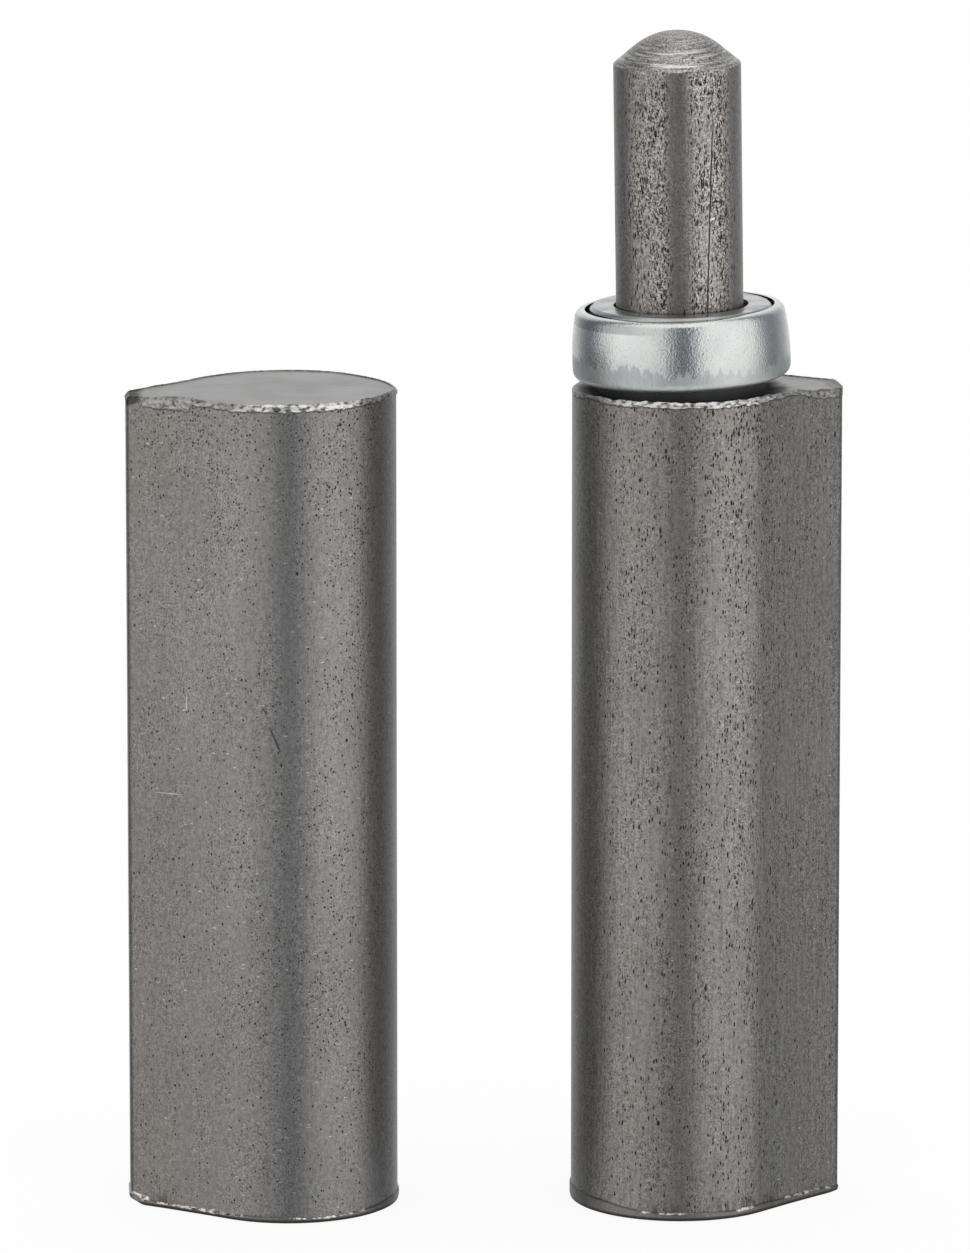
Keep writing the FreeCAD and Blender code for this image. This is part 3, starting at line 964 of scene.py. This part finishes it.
# %% Mix the pin's steel
def pin_skin(name, grey, warm):
    """Drawn skin in two pitted stripes, a split seam down the rod, and broken rings of the tool on the tip."""
    f = Finish(name)
    x, y, z = f.parts()
    from_leaf = f.calc("SUBTRACT", z, LEAF_HEIGHT * MM)
    x_here = f.calc("ADD", f.calc("SUBTRACT", x, PIN_SHIFT * MM), f.times(from_leaf, math.tan(math.radians(LEAN))))
    aside = f.calc("ADD", f.calc("ABSOLUTE", x_here), f.times(f.grain((420, 420, 200), 3.0), 1.6 * MM))
    stripes = f.times(f.ramp(aside, 1.5 * MM, 2.3 * MM), f.ramp(aside, 5.6 * MM, 4.7 * MM))
    # Painted shade: the pin is darker down its middle and towards its left side, and a little lighter at the right.
    middle = f.ramp(f.calc("ABSOLUTE", f.calc("ADD", x_here, 0.1 * MM)), 0.5 * MM, 1.6 * MM, 0.74, 1.0)
    shade = f.times(middle, f.ramp(x_here, -4.5 * MM, 3 * MM, 0.8, 1.06))
    colour, gloss, height = skin(
        f, f.shaded(steel_colour(grey, warm)[:3], shade), speckle=f.mix(stripes, 0.55, 1.5), streaks=0.14,
        pitted=f.mix(stripes, 0.12, 3.2), pit_scale=(5000, 5000, 1500), nicked=0.02
    )
    on_tip, turned, rings, mottle = turned_tip(f, x_here, x, y, z, grey, warm)
    colour = f.blend(on_tip, colour, turned)
    height = f.mix(on_tip, height, f.sum_of(0.0, (f.ramp(rings, 0.36, 0.64), 0.9), (mottle, 0.5)))
    colour = with_seam(f, colour, x, y, z)
    f.set(Base_Color=colour, Roughness=gloss, Metallic=1.0, Normal=f.relief(height, 0.016))
    return f.material


# %% Name the scratches and mix all three steels
# Each scratch has its middle in x and z, half its length and width, its turn in degrees, and then its grey.
LEFT_SCRATCHES = [
    ((-37.16, 45.7, 1.35, 0.11, -22.5), 0.04),
    ((-38.1, 48.3, 0.4, 0.13, -35), 0.04),
    ((-45.3, 48.2, 0.8, 0.06, 2), 0.6),
    ((-47.0, 39.5, 1.3, 0.06, 88), 0.55),
]
upper_steel = bar_steel(
    "upper_bar_steel", (0.225, 0.27), (0.078, 0.024), -51, -41, LEFT_SCRATCHES,
    speckle=0.58, streaks=0.06, pits=0.55, pit_scale=(4000, 4000, 3300), nicked=0.1
)
lower_steel = bar_steel(
    "lower_bar_steel", (0.265, 0.265), (0.066, 0.036), -3, 9, [],
    speckle=0.72, streaks=0.2, pits=1.0, pit_scale=(4200, 4200, 1700), nicked=0.06
)
pin_steel = pin_skin("pin_steel", 0.335, 0.06)


# %% [markdown]
# ### Cut faces
# The blade left the end faces even and a little brighter than the skin, with faint straight marks across them.
# Grease that came out of the bearing has stained the lower leaf's end nearly black round the pin, and the same dark
# round is also painted shade under the shell. A dark metal would still mirror the white tent at this flat angle, so
# the stained and shaded part is a dull material without metal. The nose's corner is painted shade too.

# %% Mix the cut faces
def cut_face(name, grey, grease_and_shade_reach):
    f = Finish(name)
    marks = f.grain((150, 4000, 1), 2.0)
    cloud = f.grain((220, 220, 220), 2.0)
    colour = f.blend(f.ramp(marks, 0.35, 0.65), steel_colour(grey, 0.008), steel_colour(grey * 0.88, 0.008))
    colour = f.blend(f.ramp(cloud, 0.4, 0.65, 0.0, 0.6), colour, steel_colour(grey * 0.9, 0.015))
    x, y, _ = f.parts()
    edge = f.calc("ADD", f.from_axis(x, y), f.times(f.grain((900,) * 3, 3.0), 1.2 * MM))
    # The dark round about the pin is partly a grease stain and partly painted shade under the shell, and the nose's
    # corner adds its painted shade.
    stain = f.ramp(edge, (grease_and_shade_reach + 0.6) * MM, (grease_and_shade_reach - 0.9) * MM)
    nose_shade = f.parts(f.painted("cut_marks")["Vector"])[2]
    dirt_and_shade = f.calc("MAXIMUM", stain, nose_shade)
    colour = f.blend(f.times(dirt_and_shade, 0.94), colour, steel_colour(0.03, 0.08))
    gloss = f.mix(dirt_and_shade, f.ramp(cloud, 0.3, 0.7, 0.4, 0.5), 0.8)
    f.set(Base_Color=colour, Roughness=gloss, Metallic=f.ramp(dirt_and_shade, 0, 1, 1, 0), Specular_IOR_Level=0.1)
    f.set(Normal=f.relief(marks, 0.006))
    return f.material


CUT_GREY, NO_STAIN, GREASE_AND_SHADE_REACH = 0.385, -5, 9.8
clean_cut = cut_face("clean_cut_steel", CUT_GREY, NO_STAIN)
stained_and_shaded_cut = cut_face("stained_and_shaded_cut_steel", CUT_GREY, GREASE_AND_SHADE_REACH)


# %% [markdown]
# ### Zinc, turned rings and balls
# The shell is zinc plated: bright, with a fine speckle that shows where it mirrors the dark side of the tent.
# Its lower edge was crimped inwards, which left it dull, with short upright marks, and just above the crimp it is
# painted darker, as painted shade. Below its upper lip a grey band darkens it at the left. The rings carry the marks
# of the lathe as fine circles, and the lower one is dark, partly with grease and partly as painted shade under the
# shell. The balls are polished.

# %% Mix the plated and polished finishes
CRIMP_TOP = 79.6
RIM = LEAF_HEIGHT + SHELL_TOP + BEARING_LIFT
GREY_BAND_LOW, GREY_BAND_HIGH = RIM - 1.2, RIM - 0.2


def zinc_plate(name):
    f = Finish(name)
    bloom = f.grain((420, 420, 300), 4.0)
    specks = f.grain((5500, 5500, 4500), 2.0)
    marks = f.grain((2200, 2200, 350), 2.0)
    x, y, z = f.parts()
    slow = f.grain((260, 260, 1), 2.0, shift=4.0)
    teeth = f.ramp(f.grain((1400, 1400, 1), 1.0, shift=2.0), 0.46, 0.52)
    ragged_top = f.sum_of(z, (marks, 1.1 * MM), (slow, 2.4 * MM), (teeth, 0.5 * MM))
    crimped = f.ramp(ragged_top, (CRIMP_TOP + 0.2) * MM, (CRIMP_TOP - 0.1) * MM)
    bright = f.blend(f.ramp(bloom, 0.35, 0.7), (0.8, 0.81, 0.79, 1), (0.68, 0.7, 0.69, 1))
    colour = f.blend(f.ramp(specks, 0.4, 0.32, 0.0, 0.35), bright, (0.4, 0.43, 0.47, 1))
    dull = f.shaded((0.5, 0.52, 0.52), f.sum_of(1.0, (marks, 0.4), (specks, 0.3)))
    # Painted shade: the zinc grows darker towards the crimped edge.
    colour = f.shaded(colour, f.ramp(z, (CRIMP_TOP - 0.5) * MM, (CRIMP_TOP + 2.5) * MM, 0.88, 1.0))
    left, back = (math.tan(math.radians(angle)) for angle in (SHELL_LEAN_LEFT, SHELL_LEAN_BACK))
    level = f.calc("ADD", f.calc("SUBTRACT", z, f.times(x, left)), f.times(y, back))
    # A band below the upper lip is darker at the left.
    above = f.ramp(level, GREY_BAND_LOW * MM, (GREY_BAND_LOW + 0.1) * MM)
    grey_band = f.times(above, f.ramp(level, GREY_BAND_HIGH * MM, (GREY_BAND_HIGH - 0.2) * MM))
    colour = f.shaded(colour, f.ramp(f.times(grey_band, f.ramp(x, -2 * MM, -5 * MM)), 0, 1, 1.0, 0.66))
    colour = f.blend(f.times(crimped, f.ramp(x, -2 * MM, 4 * MM, 0.9, 0.4)), colour, dull)
    gloss = f.calc("ADD", f.ramp(bloom, 0.35, 0.7, 0.15, 0.25), f.times(crimped, 0.25))
    height = f.sum_of(0.0, (specks, 3.9), (f.grain((900, 900, 150), 2.0), 1.0))
    f.set(Base_Color=colour, Roughness=gloss, Metallic=1.0, Normal=f.relief(height, 0.008))
    return f.material


def lathe_turned(name, grey, gloss_low, gloss_high):
    f = Finish(name)
    x, y, _ = f.parts()
    rings = f.add("ShaderNodeCombineXYZ", {"X": f.times(f.from_axis(x, y), 6000.0)}).outputs["Vector"]
    circles = f.add("ShaderNodeTexNoise", {"Vector": rings, "Scale": 1.0, "Detail": 2.0}).outputs["Fac"]
    stain = f.grain((500, 500, 500), 3.0)
    colour = f.blend(f.ramp(stain, 0.35, 0.7), steel_colour(grey, -0.01), steel_colour(grey * 0.75, -0.01))
    gloss = f.ramp(stain, 0.35, 0.7, gloss_low, gloss_high)
    f.set(Base_Color=colour, Roughness=gloss, Metallic=1.0, Normal=f.relief(circles, 0.01))
    return f.material


zinc = zinc_plate("bright_zinc")
ring_steel = lathe_turned("turned_ring_steel", 0.55, 0.25, 0.4)
# The lower ring is dark partly with grease and partly as painted shade under the shell.
greasy_and_shaded_steel = lathe_turned("greasy_and_shaded_ring_steel", 0.2, 0.45, 0.6)
ball_steel = lathe_turned("polished_ball_steel", 0.7, 0.06, 0.12)

# %% Dress the pieces and seat them on their bodies
def dress(piece, finish, slot, body, *nodes, end_finish=None):
    """Gives the piece its finish, and its flat ends another where that is named."""
    piece.data.materials.clear()
    piece.data.materials.append(finish)
    if end_finish:
        piece.data.materials.append(end_finish)
        for face in piece.data.polygons:
            face.material_index = int(abs(face.normal.z) > 0.9)
    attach(piece, body)
    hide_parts(*nodes)


dress(lower_leaf, lower_steel, "leaf_steel", "lower_half", "lower_leaf", end_finish=stained_and_shaded_cut)
dress(upper_leaf, upper_steel, "leaf_steel", "upper_half", "upper_leaf", end_finish=clean_cut)
dress(pin, pin_steel, "pin_steel", "lower_half", "hinge_pin")
dress(shell, zinc, "zinc_shell", "lower_half", "bearing_shell")
dress(upper_ring, ring_steel, "race_steel", "top_race", "upper_race")
dress(lower_ring, greasy_and_shaded_steel, "race_steel", "lower_half", "lower_race")
balls = [node for name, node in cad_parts.items() if name.startswith("ball_")]
for ball in balls:
    ball.data.materials.clear()
    ball.data.materials.append(ball_steel)
print(len(balls), "balls keep their packed shape")

# %% [markdown]
# ## Floor and light
# Steel is photographed in a white tent, because the metal shows only what surrounds it. The tent's wall is
# brightest where the two lamps stand behind it. It is dark at the opening for the lens and at both far sides,
# and those dark openings draw the soft upright stripes on every round part. Separate cards would do the same,
# but one round wall with a soft run of tones is easier to tune by azimuth. The camera doesn't see the wall.

# %% Lay the floor
FLOOR_RADIUS = 4.0
FLOOR_TONE = (0.98, 0.98, 0.98, 1)
SHADOW_KEPT = 0.1

bpy.ops.object.select_all(action="DESELECT")
bpy.ops.mesh.primitive_circle_add(vertices=96, radius=FLOOR_RADIUS, fill_type="NGON")
floor = bpy.context.object
floor.name = "studio_floor"
floor.visible_glossy = False


def white_floor():
    """White paint that keeps a share of the shadow and shows the rest as the white of the background."""
    material = bpy.data.materials.new("white_floor")
    material.use_nodes = True
    nodes, link = material.node_tree.nodes, material.node_tree.links.new
    paint = nodes["Principled BSDF"]
    paint.inputs["Base Color"].default_value = FLOOR_TONE
    paint.inputs["Roughness"].default_value = 1.0
    paint.inputs["Specular IOR Level"].default_value = 0.0
    glow = nodes.new("ShaderNodeEmission")
    rays = nodes.new("ShaderNodeLightPath")
    either, any_ray, share = (nodes.new("ShaderNodeMath") for _ in range(3))
    either.operation = any_ray.operation = "MAXIMUM"
    share.operation = "MULTIPLY"
    link(rays.outputs["Is Camera Ray"], either.inputs[0])
    link(rays.outputs["Is Glossy Ray"], either.inputs[1])
    link(either.outputs[0], any_ray.inputs[0])
    link(rays.outputs["Is Transmission Ray"], any_ray.inputs[1])
    link(any_ray.outputs[0], share.inputs[0])
    share.inputs[1].default_value = 1 - SHADOW_KEPT
    mix = nodes.new("ShaderNodeMixShader")
    link(share.outputs[0], mix.inputs[0])
    link(paint.outputs[0], mix.inputs[1])
    link(glow.outputs[0], mix.inputs[2])
    link(mix.outputs[0], nodes["Material Output"].inputs["Surface"])
    material.cycles.emission_sampling = "NONE"
    return material


floor.data.materials.append(white_floor())

# %% Stand the tent's wall round the object
WALL_TONES = {
    -180: 0.90, -150: 0.62, -135: 0.30, -120: 0.14, -108: 0.16, -100: 0.42, -92: 0.62, -80: 0.82,
    -65: 0.95, -55: 0.95, -45: 0.86, -35: 0.80, -22: 0.74, -13: 0.56, -8: 0.22, -4: 0.12,
    7: 0.12, 12: 0.22, 17: 0.56, 22: 0.82, 29: 0.95, 45: 1.00, 62: 1.00, 75: 0.94,
    84: 0.78, 92: 0.50, 100: 0.28, 112: 0.18, 125: 0.26, 140: 0.42, 155: 0.66, 180: 0.90,
}
COOL = 0.02
WALL_GLOW = 1.05
WALL_X, WALL_RADIUS, WALL_MIDDLE, WALL_HEIGHT, WHITE_ABOVE = -0.018, 1.3, 0.95, 3.6, 1.05


def lit_cloth():
    """Tones by azimuth, counted from the camera and to its right, and white above except at the dark sides."""
    f = Finish("tent_cloth")
    x, y, z = f.parts()
    azimuth = f.calc("ARCTAN2", x, f.times(y, -1.0))
    tones = f.add("ShaderNodeValToRGB", {"Fac": f.ramp(azimuth, -math.pi, math.pi)})
    steps = tones.color_ramp.elements
    for turn in list(WALL_TONES)[1:-1]:
        steps.new((turn + 180) / 360)
    for step, tone in zip(steps, WALL_TONES.values()):
        step.color = (tone - COOL * (1 - tone), tone, tone + COOL * (1 - tone), 1)
    turned_away = f.calc("ABSOLUTE", azimuth)
    far_side = f.ramp(turned_away, math.radians(92), math.radians(108))
    side = f.times(far_side, f.ramp(turned_away, math.radians(168), math.radians(150)))
    rim = WHITE_ABOVE - WALL_MIDDLE
    above = f.ramp(z, rim - 0.05, rim + 0.05)
    white = f.times(above, f.calc("SUBTRACT", 1.0, side))
    glow = f.add("ShaderNodeEmission", {
        "Color": f.blend(white, tones.outputs[0], (1 / WALL_GLOW,) * 3 + (1,)), "Strength": WALL_GLOW
    })
    f.tree.nodes.remove(f.shader)
    f.tree.links.new(glow.outputs[0], f.tree.nodes["Material Output"].inputs["Surface"])
    f.material.cycles.emission_sampling = "NONE"
    return f.material


bpy.ops.object.select_all(action="DESELECT")
bpy.ops.mesh.primitive_cylinder_add(
    vertices=128, radius=WALL_RADIUS, depth=WALL_HEIGHT, end_fill_type="NOTHING", location=(WALL_X, 0, WALL_MIDDLE)
)
wall = bpy.context.object
wall.name = "tent_wall"
wall.visible_camera = wall.visible_diffuse = wall.visible_shadow = wall.visible_transmission = False
wall.data.materials.append(lit_cloth())

# %% Light the tent
world = bpy.data.worlds.new("white_tent")
bpy.context.scene.world = world
world.use_nodes = True
world.node_tree.nodes["Background"].inputs["Color"].default_value = (1, 1, 1, 1)
world.node_tree.nodes["Background"].inputs["Strength"].default_value = 1.0
bpy.context.scene.view_settings.view_transform = "Standard"
